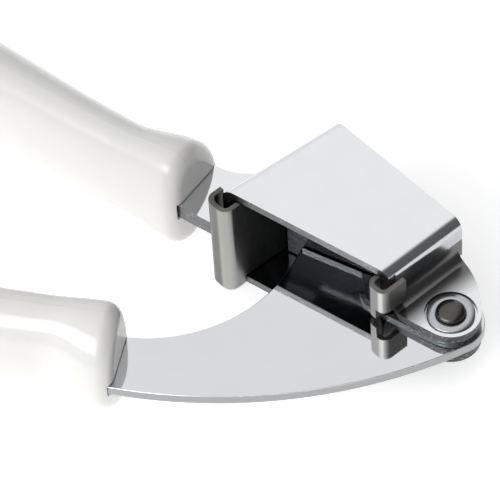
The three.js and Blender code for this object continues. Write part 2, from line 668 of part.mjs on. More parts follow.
// The rivet, turned from its half outline: shank in the middle and a low dome at each end.
function rivet() {
  const seat = EAR_TOP + HEAD_GAP;
  const dome = (share) => new THREE.Vector2(
    RIVET_HEAD_RADIUS * Math.cos((share * Math.PI) / 2),
    seat + HEAD_RIM + (RIVET_HEAD_HEIGHT - HEAD_RIM) * Math.sin((share * Math.PI) / 2),
  );
  const upper = [new THREE.Vector2(RIVET_RADIUS, seat), new THREE.Vector2(RIVET_HEAD_RADIUS, seat)];
  for (let step = 0; step < DOME_STEPS; step += 1) {
    upper.push(dome(step / DOME_STEPS));
  }
  upper.push(new THREE.Vector2(0, seat + RIVET_HEAD_HEIGHT));
  const lower = upper.map((point) => new THREE.Vector2(point.x, -point.y)).reverse();
  const geometry = new THREE.LatheGeometry([...lower, ...upper], 2 * ROUND_STEPS);
  geometry.rotateX(Math.PI / 2);
  return solidOf(geometry.translate(PIVOT.x, PIVOT.y, MID));
}

function washer(upward) {
  const bottom = EAR_TOP - WASHER_SHEET + HEAD_GAP;
  const levels = [MID + upward * bottom, MID + upward * EAR_TOP].sort((one, other) => one - other);
  return disc(PIVOT, WASHER_RADIUS, ...levels, WASHER_STEPS)
    .subtract(disc(PIVOT, RIVET_RADIUS + RIVET_CLEARANCE, 0, HEIGHT));
}

// ---------------------------------------------------------------- the press

const chrome = { color: 0xd9dcdf, roughness: 0.08, metalness: 1 };
const polishedSteel = { color: 0xc9ccd0, roughness: 0.1, metalness: 1 };
const stainless = { color: 0x8f8d88, roughness: 0.32, metalness: 1 };
const rivetSteel = { color: 0x6a6660, roughness: 0.3, metalness: 1 };
const washerSteel = { color: 0xb5bbc2, roughness: 0.2, metalness: 1 };
const whitePlastic = { color: 0xf4f3ee, roughness: 0.18, metalness: 0 };

const press = new THREE.Group();

function addPiece(name, solid, finish) {
  const mesh = new THREE.Mesh(geometryOf(solid), new THREE.MeshStandardMaterial(finish));
  mesh.name = name;
  press.add(mesh);
}

addPiece('upper_shell', shell(1), chrome);
addPiece('lower_shell', shell(-1), chrome);
addPiece('sieve_insert', sieveInsert(), stainless);
addPiece('plunger_arm_plate', armPlate(), polishedSteel);
addPiece('upper_plunger', plunger(1), polishedSteel);
addPiece('lower_plunger', plunger(-1), polishedSteel);
addPiece('pivot_rivet', rivet(), rivetSteel);
addPiece('upper_washer', washer(1), washerSteel);
addPiece('lower_washer', washer(-1), washerSteel);
const chamberTangHalf = SHELL_SHEET + SEAM / 2;
addPiece('chamber_grip', grip(CHAMBER_GRIP, TANG_INNER, TANG_OUTER, chamberTangHalf), whitePlastic);
addPiece('plunger_grip', grip(PLUNGER_GRIP, ARM_TANG_INNER, ARM_TANG_OUTER, ARM_SHEET / 2), whitePlastic);

export default press;
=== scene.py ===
# %% [markdown]
# # A garlic press
#
# A chromed steel chamber with a hooked sieve in it, a crescent arm that swings on one rivet and carries
# the plunger, and two white moulded grips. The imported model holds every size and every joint. This
# lesson puts the finished surfaces on it: rolled edges, drilled holes, turned rivet heads, polished and
# satin metal, and glossy plastic.

import json
import math

import bmesh
import bpy
from mathutils import Matrix, Vector


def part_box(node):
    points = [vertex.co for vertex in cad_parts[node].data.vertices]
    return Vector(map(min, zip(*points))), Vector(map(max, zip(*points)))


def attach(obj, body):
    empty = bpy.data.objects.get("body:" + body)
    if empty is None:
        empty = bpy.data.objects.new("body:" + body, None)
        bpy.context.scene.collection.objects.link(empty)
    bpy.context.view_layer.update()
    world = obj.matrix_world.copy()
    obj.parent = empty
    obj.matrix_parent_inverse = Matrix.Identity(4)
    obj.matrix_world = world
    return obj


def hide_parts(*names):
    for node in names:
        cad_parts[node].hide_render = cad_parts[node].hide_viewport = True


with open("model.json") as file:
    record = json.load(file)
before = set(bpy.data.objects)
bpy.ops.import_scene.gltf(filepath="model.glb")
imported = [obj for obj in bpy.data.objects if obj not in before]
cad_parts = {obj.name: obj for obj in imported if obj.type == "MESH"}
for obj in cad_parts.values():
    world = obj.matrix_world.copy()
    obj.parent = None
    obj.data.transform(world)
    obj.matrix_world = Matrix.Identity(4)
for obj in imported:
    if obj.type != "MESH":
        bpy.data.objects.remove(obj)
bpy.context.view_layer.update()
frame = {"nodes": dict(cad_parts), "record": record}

# %% [markdown]
# ## Millimetres
#
# The press is drawn in millimetres and Blender counts in metres, so every size is written as a number of
# millimetres times `MM`.

# %% Sizes that several pieces share
MM = 0.001
CHAMBER_BODY = "chamber_arm"
PLUNGER_BODY = "plunger_arm"

joint = frame["record"]["behaviour"]["joints"][0]
pivot = Vector(joint["pos_m"])
middle_level = pivot.z

chamber_lean = math.radians(13)
across_chamber = Vector((math.cos(chamber_lean), -math.sin(chamber_lean), 0))
pressing = Vector((math.sin(chamber_lean), math.cos(chamber_lean), 0))
# The left wall tapers towards the back, so it has an outer reach at the front and one limit inside.
SHELL_SHEET = 1.6 * MM
LEFT_FRONT = -18.4 * MM
INNER_LEFT = -15.5 * MM
RIGHT_SIDE = 15.8 * MM
INNER_RIGHT = RIGHT_SIDE - SHELL_SHEET
SHELL_BACK = 12.1 * MM
SHELL_FRONT_Y = -8.3 * MM
print("pivot at", tuple(round(value / MM, 2) for value in pivot), "mm")


# %% [markdown]
# ## Arithmetic on sockets
#
# Materials and Geometry Nodes are both written as trees of small nodes. `Value` wraps one output, so that
# `1 - mask` or `height ** 2` adds the right Math nodes, and `Tree` makes every other node from its type,
# its settings and what goes into its sockets.

# %% Value and Tree
class Value:
    """A number running through a node tree."""

    def __init__(self, tree, socket):
        self.tree = tree
        self.socket = socket

    def math(self, operation, *others, first=None, clamp=False):
        terms = [self, *others] if first is None else [first, self]
        settings = {"operation": operation, "use_clamp": clamp}
        return self.tree.value("ShaderNodeMath", settings, dict(enumerate(terms)))

    def __add__(self, other):
        return self.math("ADD", other)

    __radd__ = __add__

    def __sub__(self, other):
        return self.math("SUBTRACT", other)

    def __rsub__(self, other):
        return self.math("SUBTRACT", first=other)

    def __mul__(self, other):
        return self.math("MULTIPLY", other)

    __rmul__ = __mul__

    def __truediv__(self, other):
        return self.math("DIVIDE", other)

    def __rtruediv__(self, other):
        return self.math("DIVIDE", first=other)

    def __pow__(self, other):
        return self.math("POWER", other)

    def __abs__(self):
        return self.math("ABSOLUTE")

    def __gt__(self, other):
        return self.math("GREATER_THAN", other)

    def __lt__(self, other):
        return self.math("LESS_THAN", other)

    def clamped(self):
        return self.math("ADD", 0.0, clamp=True)

    def sine(self):
        return self.math("SINE")

    def cosine(self):
        return self.math("COSINE")

    def sign(self):
        return self.math("SIGN")


class Tree:
    """Makes and links the nodes of one tree."""

    def __init__(self, tree):
        self.tree = tree

    def node(self, kind, settings=None, sockets=None):
        made = self.tree.nodes.new(kind)
        for name, value in (settings or {}).items():
            if name == "stops":
                ramp = made.color_ramp
                while len(ramp.elements) < len(value):
                    ramp.elements.new(1.0)
                for element, (place, colour) in zip(ramp.elements, value):
                    element.position = place
                    element.color = colour
            else:
                setattr(made, name, value)
        for name, value in (sockets or {}).items():
            self.feed(made.inputs[name], value)
        return made

    def feed(self, socket, value):
        if isinstance(value, Value):
            self.tree.links.new(value.socket, socket)
        elif isinstance(value, bpy.types.NodeSocket):
            self.tree.links.new(value, socket)
        else:
            socket.default_value = value

    def value(self, kind, settings=None, sockets=None, output=0):
        return Value(self, self.node(kind, settings, sockets).outputs[output])


# %% [markdown]
# ## Plain meshes from modifiers
#
# A piece is shaped with live modifiers, and then its evaluated result becomes one plain mesh, with its
# edges rolled by a Bevel. The Bevel only takes edges that turn sharply, so the smooth bends are left
# alone, and weighted normals keep the flats flat, which a mirror finish shows at once.

# %% Making, joining and baking helpers
SHARP_TURN = math.radians(32)


def new_object(name, mesh):
    made = bpy.data.objects.new(name, mesh)
    bpy.context.scene.collection.objects.link(made)
    return made


def roll_edges(piece, width, segments=3):
    bevel = piece.modifiers.new("rolled edges", "BEVEL")
    bevel.width = width
    bevel.segments = segments
    bevel.limit_method = "ANGLE"
    bevel.angle_limit = SHARP_TURN
    bevel.use_clamp_overlap = True
    evened = piece.modifiers.new("flats stay flat", "WEIGHTED_NORMAL")
    evened.mode = "FACE_AREA"
    evened.weight = 100


def bake(piece, material=None):
    """Replaces a piece's mesh by its evaluated mesh, and removes its modifiers."""
    bpy.context.view_layer.update()
    evaluated = piece.evaluated_get(bpy.context.evaluated_depsgraph_get())
    mesh = bpy.data.meshes.new_from_object(evaluated)
    piece.modifiers.clear()
    old = piece.data
    piece.data = mesh
    mesh.name = piece.name
    bpy.data.meshes.remove(old)
    if material:
        mesh.materials.clear()
        mesh.materials.append(material)


def cut(piece, cutter):
    """Takes a closed cutter out of a piece."""
    boolean = piece.modifiers.new("cut", "BOOLEAN")
    boolean.operation = "DIFFERENCE"
    boolean.solver = "EXACT"
    boolean.object = cutter
    bake(piece)
    bpy.data.objects.remove(cutter)


def prism(name, outline, low, high):
    """A closed solid over a level outline of (x, y) points, given anticlockwise."""
    shape = bmesh.new()
    bottom = [shape.verts.new((x, y, low)) for x, y in outline]
    top = [shape.verts.new((x, y, high)) for x, y in outline]
    shape.faces.new(bottom[::-1])
    shape.faces.new(top)
    for index in range(len(outline)):
        after = (index + 1) % len(outline)
        shape.faces.new((bottom[index], bottom[after], top[after], top[index]))
    bmesh.ops.recalc_face_normals(shape, faces=shape.faces)
    mesh = bpy.data.meshes.new(name)
    shape.to_mesh(mesh)
    shape.free()
    return new_object(name, mesh)


def smooth(piece):
    piece.data.shade_smooth()
    return piece


# %% [markdown]
# ## Sheet-metal pieces
#
# The shells, the arm plate and the plunger stampings are cut and bent from sheet, and their shapes in the
# frame are right. A copy of each is merged into a clean skin, its flat triangles are dissolved into whole
# faces, and its sheared edges are rolled. Making them again from curves would only repeat the outline.

# %% Fine copies of the sheet parts
WELD_DISTANCE = 0.002 * MM
FLAT_TURN = math.radians(0.6)


def fine_copy(node, body, material, edge):
    source = frame["nodes"][node]
    shape = bmesh.new()
    shape.from_mesh(source.data)
    bmesh.ops.remove_doubles(shape, verts=shape.verts, dist=WELD_DISTANCE)
    bmesh.ops.dissolve_limit(
        shape,
        angle_limit=FLAT_TURN,
        verts=shape.verts,
        edges=shape.edges,
        delimit={"NORMAL"},
    )
    mesh = bpy.data.meshes.new(node + "_fine")
    shape.to_mesh(mesh)
    shape.free()
    piece = smooth(new_object(node + "_fine", mesh))
    roll_edges(piece, edge)
    bake(piece, material)
    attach(piece, body)
    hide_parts(node)
    print(piece.name, len(piece.data.polygons), "faces")


# %% [markdown]
# ## Chromed steel
#
# Chrome plate is a mirror. What makes it look real is how the mirror fails: a slow wave left by pressing
# the sheet, wiping haze, hair-fine scratches, and sheared edges that were never polished before plating.
# The edges are found from the surface's own direction: an upright surface that isn't a side wall. Bends
# and side walls are duller than the flat tops, and their colour is darkened as painted shade. The foot of
# the ear is duller too and carries a band of painted shade along the wall. The sheared edges are darkened,
# partly as painted shade, most of all on the ear, with painted glints. Inside the chamber the skin is
# duller, and darkened as painted shade.

# %% Chromed steel material
SKIN = 0.05 * MM
SHELL_EDGE = 0.18 * MM
UPRIGHT = 0.3
WALL_FACING = 0.85
SCRATCH_STRETCH = 40
SCRATCH_CONTRAST = 12.0
EAR_SHADE_START, EAR_SHADE_END = 3.2 * MM, 8.5 * MM
EAR_SHADE_HEIGHT = 7 * MM


def start_material(name):
    material = bpy.data.materials.new(name)
    material.use_nodes = True
    material.node_tree.nodes.clear()
    return material, Tree(material.node_tree)


def noise(tree, place, scale, detail=3.0, roughness=0.5):
    sockets = {"Vector": place, "Scale": scale, "Detail": detail, "Roughness": roughness}
    return tree.value("ShaderNodeTexNoise", None, sockets)


def stretched(tree, place, scale):
    return tree.node("ShaderNodeMapping", None, {"Vector": place, "Scale": scale}).outputs[0]


def dot(tree, vector, direction):
    sockets = {0: vector, 1: tuple(direction)}
    return tree.value("ShaderNodeVectorMath", {"operation": "DOT_PRODUCT"}, sockets, output=1)


def colour_mix(tree, share, first, second):
    settings = {"data_type": "RGBA"}
    made = tree.node("ShaderNodeMix", settings, {"Factor": share, 6: first, 7: second})
    return made.outputs[2]


def smooth_step(tree, value, start, end):
    return tree.value("ShaderNodeMapRange", {"interpolation_type": "SMOOTHSTEP"}, {
        "Value": value,
        "From Min": start,
        "From Max": end,
    })


def bump(tree, height, distance, strength=1.0, normal=None):
    sockets = {"Height": height, "Distance": distance, "Strength": strength}
    if normal is not None:
        sockets["Normal"] = normal
    return tree.node("ShaderNodeBump", None, sockets).outputs[0]


def finish_material(tree, **sockets):
    names = {name.replace("_", " "): value for name, value in sockets.items()}
    shader = tree.node("ShaderNodeBsdfPrincipled", None, names)
    tree.node("ShaderNodeOutputMaterial", None, {"Surface": shader.outputs[0]})


def scratches(tree, place, turn, density, spacing):
    """Fine straight scratches: thin bright lines of a noise that is stretched along one direction."""
    close = spacing * SCRATCH_STRETCH
    mapping = {"Vector": place, "Rotation": (0, 0, turn), "Scale": (spacing, close, close)}
    turned = tree.node("ShaderNodeMapping", None, mapping).outputs[0]
    lines = noise(tree, turned, 1.0, detail=2.0, roughness=0.7)
    return ((lines - density) * SCRATCH_CONTRAST).clamped()


def chromed_steel():
    material, tree = start_material("chromed_steel")
    coordinates = tree.node("ShaderNodeTexCoord")
    place = coordinates.outputs["Object"]
    facing = coordinates.outputs["Normal"]
    steepness = abs(dot(tree, facing, (0, 0, 1)))
    upright = steepness < UPRIGHT
    bending = (1 - steepness) ** 0.5
    along_wall = abs(dot(tree, facing, across_chamber)) > WALL_FACING
    across = dot(tree, place, across_chamber)
    wall = along_wall * (abs(across) < -LEFT_FRONT + SKIN)
    edge = upright * (1 - wall)
    height = Value(tree, tree.node("ShaderNodeSeparateXYZ", None, {"Vector": place}).outputs[2])
    off_middle = abs(height - middle_level)
    between_walls = (across > INNER_LEFT - SKIN) * (across < INNER_RIGHT + SKIN)
    pocket_shade = between_walls * (off_middle < middle_level - SHELL_SHEET + SKIN)
    off_wall = across - RIGHT_SIDE
    on_ear = (off_wall > -SKIN) * (off_middle < EAR_SHADE_HEIGHT)
    # Painted shade: a dark band on the ear along the foot of the wall.
    ear_foot_shade = on_ear * (1 - smooth_step(tree, off_wall, EAR_SHADE_START, EAR_SHADE_END))
    wave = noise(tree, place, 70.0, detail=1.0)
    haze = noise(tree, place, 160.0, detail=5.0, roughness=0.65)
    tooth = noise(tree, place, 1900.0, detail=3.0)
    hairlines = scratches(tree, place, 0.6, 0.72, 45.0)
    roughness = 0.03 + 0.05 * haze * haze + 0.02 * hairlines + 0.2 * bending * (0.7 + 0.5 * haze)
    roughness = roughness + edge * (0.05 + 0.15 * tooth) + pocket_shade * 0.1 + 0.16 * ear_foot_shade
    tone = colour_mix(tree, haze, (0.83, 0.845, 0.865, 1), (0.9, 0.905, 0.915, 1))
    # Painted shade: the side walls and bends are darkened.
    side_shaded_tone = colour_mix(tree, bending, tone, (0.5, 0.52, 0.545, 1))
    ear_foot_shaded_tone = colour_mix(tree, ear_foot_shade, side_shaded_tone, (0.17, 0.168, 0.165, 1))
    # Sheared edges are dull; their dark colour is partly painted shade, darkest on the ear, and the light
    # spots are painted glints.
    cut_dull_and_shade = colour_mix(tree, on_ear, (0.19, 0.19, 0.195, 1), (0.075, 0.076, 0.08, 1))
    glint = (tooth > 0.62) * 0.4
    edge_tone = colour_mix(tree, edge * (1 - glint), ear_foot_shaded_tone, cut_dull_and_shade)
    # Painted shade: the inside of the chamber is darkened.
    pocket_shaded_tone = colour_mix(tree, pocket_shade * 0.9, edge_tone, (0.14, 0.15, 0.165, 1))
    slow = bump(tree, wave, 0.02 * MM, 0.3)
    rough_edge = bump(tree, tooth * edge, 0.1 * MM, 0.8, slow)
    finish_material(
        tree, Base_Color=pocket_shaded_tone, Metallic=1.0, Roughness=roughness, Normal=rough_edge
    )
    return material


chrome = chromed_steel()
for node in ("upper_shell", "lower_shell"):
    fine_copy(node, CHAMBER_BODY, chrome, SHELL_EDGE)

# %% [markdown]
# ## The polished plunger arm
#
# The arm is a flat plate, polished on both faces, with a ground rim that is duller and darkened as painted
# shade. It shows longer wiping marks than the shells do, running the way a hand wipes it, from the grip
# towards the rivet. The flanges of the two plunger stampings are polished with it, but their walls and
# their sheared edges are darkened as painted shade.

# %% Polished plate material and the arm
ARM_EDGE, STAMPING_EDGE = 0.16 * MM, 0.12 * MM
ARM_FACE = 1.01 * MM
WALL_TOP = 9.4 * MM


def polished_plate():
    material, tree = start_material("polished_plate")
    coordinates = tree.node("ShaderNodeTexCoord")
    place = coordinates.outputs["Object"]
    facing = coordinates.outputs["Normal"]
    rim = abs(dot(tree, facing, (0, 0, 1))) < UPRIGHT
    wave = noise(tree, place, 45.0, detail=1.0)
    haze = noise(tree, place, 110.0, detail=4.0, roughness=0.6)
    tooth = noise(tree, place, 1500.0, detail=3.0)
    wiping = scratches(tree, place, -0.7, 0.66, 32.0)
    roughness = 0.03 + 0.05 * haze * haze + 0.02 * wiping + rim * (0.1 + 0.15 * tooth)
    tone = colour_mix(tree, haze, (0.72, 0.73, 0.75, 1), (0.79, 0.795, 0.81, 1))
    # The rim is ground and duller; its colour is darkened as painted shade.
    rim_shaded_tone = colour_mix(tree, rim * 0.8, tone, (0.24, 0.245, 0.25, 1))
    height = Value(tree, tree.node("ShaderNodeSeparateXYZ", None, {"Vector": place}).outputs[2])
    off_middle = abs(height - middle_level)
    # Painted shade: the walls of the plunger stampings and their sheared edges are darkened.
    stamping_shade = rim * (off_middle > ARM_FACE) + (off_middle > WALL_TOP)
    stamping_shaded_tone = colour_mix(tree, stamping_shade.clamped() * 0.9, rim_shaded_tone, (0.09, 0.1, 0.11, 1))
    slow = bump(tree, wave, 0.02 * MM, 0.25)
    rough_rim = bump(tree, tooth * rim, 0.08 * MM, 0.7, slow)
    finish_material(
        tree, Base_Color=stamping_shaded_tone, Metallic=1.0, Roughness=roughness, Normal=rough_rim
    )
    return material


polished = polished_plate()
fine_copy("plunger_arm_plate", PLUNGER_BODY, polished, ARM_EDGE)
for node in ("upper_plunger", "lower_plunger"):
    fine_copy(node, PLUNGER_BODY, polished, STAMPING_EDGE)

# %% [markdown]
# ## Satin stainless steel
#
# The sieve is cut from sheet that is left as rolled: a satin skin whose grain runs up and down the hooks,
# patched with thin films, darker and warmer where the sheet was sheared. The outer leg of the far hook
# keeps the darker tone, everything from its bend on is lightened as a painted highlight, and the part
# inside the chamber is darkened as painted shade.

# %% Satin stainless material
SHEARED_FACING = 0.6
HOOK_FADE = 1.5 * MM
HIGHLIGHT_BEND = (-16.9 * MM, -15.9 * MM)
HOOK_FADE_INSET = 0.1 * MM
HOOK_FADE_FRONT = 15 * MM


def satin_stainless():
    material, tree = start_material("satin_stainless")
    coordinates = tree.node("ShaderNodeTexCoord")
    place = coordinates.outputs["Object"]
    sheared = abs(dot(tree, coordinates.outputs["Normal"], (0, 0, 1))) > SHEARED_FACING
    across = dot(tree, place, across_chamber)
    deep = dot(tree, place, pressing)
    from_left = (across - INNER_LEFT - HOOK_FADE_INSET) / HOOK_FADE
    from_right = (INNER_RIGHT - across) / HOOK_FADE
    from_front = (deep + HOOK_FADE_FRONT) / HOOK_FADE
    inside = from_left.clamped() * from_right.clamped() * from_front.clamped()
    grain = noise(tree, stretched(tree, place, (2600, 2600, 90)), 1.0, detail=3.0)
    film = noise(tree, place, 240.0, detail=4.0, roughness=0.6)
    tooth = noise(tree, place, 2200.0, detail=2.0)
    dull = colour_mix(tree, film, (0.11, 0.11, 0.104, 1), (0.19, 0.188, 0.178, 1))
    # Painted highlight: lighter from the bend of the far hook on.
    bend_highlight = smooth_step(tree, across, *HIGHLIGHT_BEND)
    tone = colour_mix(tree, bend_highlight, dull, (0.42, 0.415, 0.4, 1))
    shear_tone = colour_mix(tree, sheared * 0.8, tone, (0.13, 0.115, 0.1, 1))
    # Painted shade: the part of the sieve inside the chamber is darkened.
    inside_shaded_tone = colour_mix(tree, inside * 0.9, shear_tone, (0.12, 0.127, 0.137, 1))
    roughness = 0.2 + 0.12 * grain + 0.08 * film + sheared * (0.1 + 0.12 * tooth)
    lines = bump(tree, grain, 0.012 * MM, 0.6)
    sheared_skin = bump(tree, tooth * sheared, 0.06 * MM, 0.7, lines)
    finish_material(
        tree, Base_Color=inside_shaded_tone, Metallic=1.0, Roughness=roughness, Normal=sheared_skin
    )
    return material


satin = satin_stainless()
print("satin sheet:", satin.name)


# %% [markdown]
# ## The sieve insert
#
# One strip of 0.9 mm sheet: a full-height hook over the far wall, a perforated back, and two short hooks
# over the near wall with a slot between them for the arm. The strip's edge view is a line with rounded
# corners, offset to both sides. The holes are one short drill, instanced on a staggered grid by Geometry
# Nodes and cut out of the strip in one go.

# %% The strip
def heading(start, end):
    return math.atan2(end[1] - start[1], end[0] - start[0])


def unit(angle):
    return Vector((math.cos(angle), math.sin(angle)))


def bent_strip(corners, thickness, steps=10):
    """The outline of bent sheet seen edge-on, from corners of (x, y, inner radius)."""
    left, right = [], []

    def put(point, normal):
        left.append(point + normal * thickness / 2)
        right.append(point - normal * thickness / 2)

    quarter = math.pi / 2
    put(Vector(corners[0][:2]), unit(heading(corners[0], corners[1]) + quarter))
    for index in range(1, len(corners) - 1):
        before = heading(corners[index - 1], corners[index])
        turn = heading(corners[index], corners[index + 1]) - before
        turn = math.atan2(math.sin(turn), math.cos(turn))
        side = math.copysign(1, turn)
        radius = corners[index][2] + thickness / 2
        start = Vector(corners[index][:2]) - unit(before) * radius * math.tan(abs(turn) / 2)
        centre = start + unit(before + quarter) * side * radius
        for step in range(steps + 1):
            normal = unit(before + turn * step / steps + quarter)
            put(centre - normal * side * radius, normal)
    put(Vector(corners[-1][:2]), unit(heading(corners[-2], corners[-1]) + quarter))
    return left + right[::-1]


sieve_sheet = 0.9 * MM
sieve_low, sieve_high = (corner[2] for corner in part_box("sieve_insert"))
hook_left, hook_left_front, hook_left_end = -19.4 * MM, -15.35 * MM, -12 * MM
hook_right, hook_right_front, hook_right_end = 17.2 * MM, -7.7 * MM, -2.8 * MM
hook_bend, hook_right_bend, corner_bend = 1 * MM, 0.8 * MM, 1 * MM
sieve_side_gap, sieve_back_inset = 0.15 * MM, 0.9 * MM
sieve_inset = SHELL_SHEET + sieve_side_gap + sieve_sheet / 2
sieve_left, sieve_left_back = -14.9 * MM, -14.35 * MM
sieve_right = RIGHT_SIDE - sieve_inset
sieve_back = SHELL_BACK - sieve_back_inset - sieve_sheet / 2

strip_corners = [
    (hook_left, hook_left_end),
    (hook_left, hook_left_front, hook_bend),
    (sieve_left, hook_left_front, hook_bend),
    (sieve_left_back, sieve_back, corner_bend),
    (sieve_right, sieve_back, corner_bend),
    (sieve_right, hook_right_front, hook_right_bend),
    (hook_right, hook_right_front, hook_right_bend),
    (hook_right, hook_right_end),
]
chamber_turn = Matrix.Rotation(-chamber_lean, 4, "Z")
sieve = prism("sieve_insert_fine", bent_strip(strip_corners, sieve_sheet), sieve_low, sieve_high)
sieve.data.transform(chamber_turn)
print("strip runs from", round(sieve_low / MM, 2), "to", round(sieve_high / MM, 2), "mm")

# %% [markdown]
# The strip is lower inside the chamber than at its hooks, and it has three notches: the long slot for the
# arm, one that clears the ears, and one where the left hook straddles the tang.

# %% Notches of the strip
def chamber_place(across, deep):
    place = across_chamber * across + pressing * deep
    return place.x, place.y


front_gap = 0.3 * MM
front_clear_y = SHELL_FRONT_Y - front_gap
left_front_depth, right_front_depth = -12 * MM, -4.5 * MM
roof = 2.0 * MM
chamber_inside = [
    (chamber_place(INNER_LEFT, left_front_depth)[0], front_clear_y),
    (chamber_place(INNER_RIGHT, right_front_depth)[0], front_clear_y),
    chamber_place(INNER_RIGHT, SHELL_BACK),
    chamber_place(INNER_LEFT, SHELL_BACK),
]


def chamber_block(name, sides, depths, half_height):
    near, far = sides
    shallow, deep = depths
    outline = [
        chamber_place(near, shallow),
        chamber_place(far, shallow),
        chamber_place(far, deep),
        chamber_place(near, deep),
    ]
    return prism(name, outline, middle_level - half_height, middle_level + half_height)


tang_notch_right = chamber_place(LEFT_FRONT, left_front_depth)[0]
tang_notch_left = tang_notch_right - 4 * MM
tang_notch_front, tang_notch_back = -9.7 * MM, -3.7 * MM
tang_notch = [
    (tang_notch_left, tang_notch_front),
    (tang_notch_right, tang_notch_front),
    (tang_notch_right, tang_notch_back),
    (tang_notch_left, tang_notch_back),
]
total_height = 2 * middle_level
cut(sieve, prism("low trim", chamber_inside, -MM, roof))
cut(sieve, prism("high trim", chamber_inside, total_height - roof, total_height + MM))
slot_depths = (-12 * MM, 9 * MM)
arm_slot_sides = (RIGHT_SIDE - 4.6 * MM, RIGHT_SIDE + 5.4 * MM)
ear_notch_sides = (RIGHT_SIDE - 0.2 * MM, RIGHT_SIDE + 3.8 * MM)
arm_slot_half, ear_notch_half, tang_notch_half = 2.35 * MM, 4.8 * MM, 2 * MM
tang_notch_levels = (middle_level - tang_notch_half, middle_level + tang_notch_half)
cut(sieve, chamber_block("arm slot", arm_slot_sides, slot_depths, arm_slot_half))
cut(sieve, chamber_block("ear notch", ear_notch_sides, slot_depths, ear_notch_half))
cut(sieve, prism("tang notch", tang_notch, *tang_notch_levels))
print("strip has", len(sieve.data.polygons), "faces")

# %% [markdown]
# The perforation tree: a grid of points, every other row shifted by half a pitch, a drill on each point,
# and one boolean. The drill is turned to run along the pressing direction.

# %% Perforations with Geometry Nodes
DRILL_DEPTH = 5 * MM
DRILL_FACETS = 20
SIEVE_EDGE = 0.12 * MM


def new_geometry_tree(name, inputs):
    group = bpy.data.node_groups.new(name, "GeometryNodeTree")
    group.interface.new_socket("Geometry", in_out="INPUT", socket_type="NodeSocketGeometry")
    for label, kind in inputs:
        group.interface.new_socket(label, in_out="INPUT", socket_type=kind)
    group.interface.new_socket("Geometry", in_out="OUTPUT", socket_type="NodeSocketGeometry")
    tree = Tree(group)
    return group, tree, tree.node("NodeGroupInput")


def add_nodes(piece, group, **values):
    """Puts a tree on a piece and sets its inputs by their identifiers."""
    modifier = piece.modifiers.new(group.name, "NODES")
    modifier.node_group = group
    identifiers = {
        item.name: item.identifier
        for item in group.interface.items_tree
        if item.item_type == "SOCKET" and item.in_out == "INPUT"
    }
    for name, value in values.items():
        modifier[identifiers[name.replace("_", " ")]] = value


def perforation_tree():
    group, tree, given = new_geometry_tree("perforations", [
        ("Columns", "NodeSocketInt"),
        ("Rows", "NodeSocketInt"),
        ("Pitch", "NodeSocketFloat"),
        ("Hole Radius", "NodeSocketFloat"),
        ("Middle", "NodeSocketVector"),
        ("Turn", "NodeSocketFloat"),
        ("Finish", "NodeSocketMaterial"),
    ])
    columns = Value(tree, given.outputs["Columns"])
    rows = Value(tree, given.outputs["Rows"])
    pitch = Value(tree, given.outputs["Pitch"])
    count = columns * rows
    points = tree.node("GeometryNodePoints", None, {"Count": count})
    index = tree.value("GeometryNodeInputIndex")
    row = (index / columns).math("FLOOR")
    column = index - row * columns
    shifted = row.math("MODULO", 2.0)
    x = (column - (columns - 1) / 2 + shifted / 2) * pitch
    z = (row - (rows - 1) / 2) * pitch
    spot = tree.node("ShaderNodeCombineXYZ", None, {"X": x, "Z": z})
    placed = tree.node("GeometryNodeSetPosition", None, {
        "Geometry": points.outputs[0],
        "Position": spot.outputs[0],
    })
    spare = (column > columns - 1.5) * (shifted > 0.5)
    kept = tree.node("GeometryNodeDeleteGeometry", {"domain": "POINT"}, {
        "Geometry": placed.outputs[0],
        "Selection": spare,
    })
    drill = tree.node("GeometryNodeMeshCylinder", None, {
        "Vertices": DRILL_FACETS,
        "Radius": given.outputs["Hole Radius"],
        "Depth": DRILL_DEPTH,
    })
    drills = tree.node("GeometryNodeInstanceOnPoints", None, {
        "Points": kept.outputs[0],
        "Instance": drill.outputs[0],
        "Rotation": (math.pi / 2, 0, 0),
    })
    turn = tree.node("ShaderNodeCombineXYZ", None, {"Z": Value(tree, given.outputs["Turn"])})
    moved = tree.node("GeometryNodeTransform", None, {
        "Geometry": drills.outputs[0],
        "Translation": given.outputs["Middle"],
        "Rotation": turn.outputs[0],
    })
    solid = tree.node("GeometryNodeRealizeInstances", None, {"Geometry": moved.outputs[0]})
    drilled = tree.node("GeometryNodeMeshBoolean", {"operation": "DIFFERENCE", "solver": "EXACT"}, {
        0: given.outputs["Geometry"],
        1: solid.outputs[0],
    })
    whole = tree.node("GeometryNodeRealizeInstances", None, {"Geometry": drilled.outputs[0]})
    painted = tree.node("GeometryNodeSetMaterial", None, {
        "Geometry": whole.outputs[0],
        "Material": given.outputs["Finish"],
    })
    tree.node("NodeGroupOutput", None, {"Geometry": painted.outputs[0]})
    return group


sieve_middle = -0.6 * MM
back_middle = pressing * sieve_back + across_chamber * sieve_middle
add_nodes(
    sieve,
    perforation_tree(),
    Columns=9,
    Rows=7,
    Pitch=2.75 * MM,
    Hole_Radius=0.85 * MM,
    Middle=(back_middle.x, back_middle.y, middle_level),
    Turn=-chamber_lean,
    Finish=satin,
)
bake(sieve)
smooth(sieve)
roll_edges(sieve, SIEVE_EDGE, segments=2)
bake(sieve, satin)
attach(sieve, CHAMBER_BODY)
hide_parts("sieve_insert")
print("sieve has", len(sieve.data.polygons), "faces")

# %% [markdown]
# ## The rivet and its washers
#
# Both are turned parts, so a half outline is spun about the pivot. The rivet's heads are low domes with a
# faint flat where the setting tool pressed them, and the washers have a broken edge at both rims.

# %% Turned parts
POLE_RADIUS = 1e-9


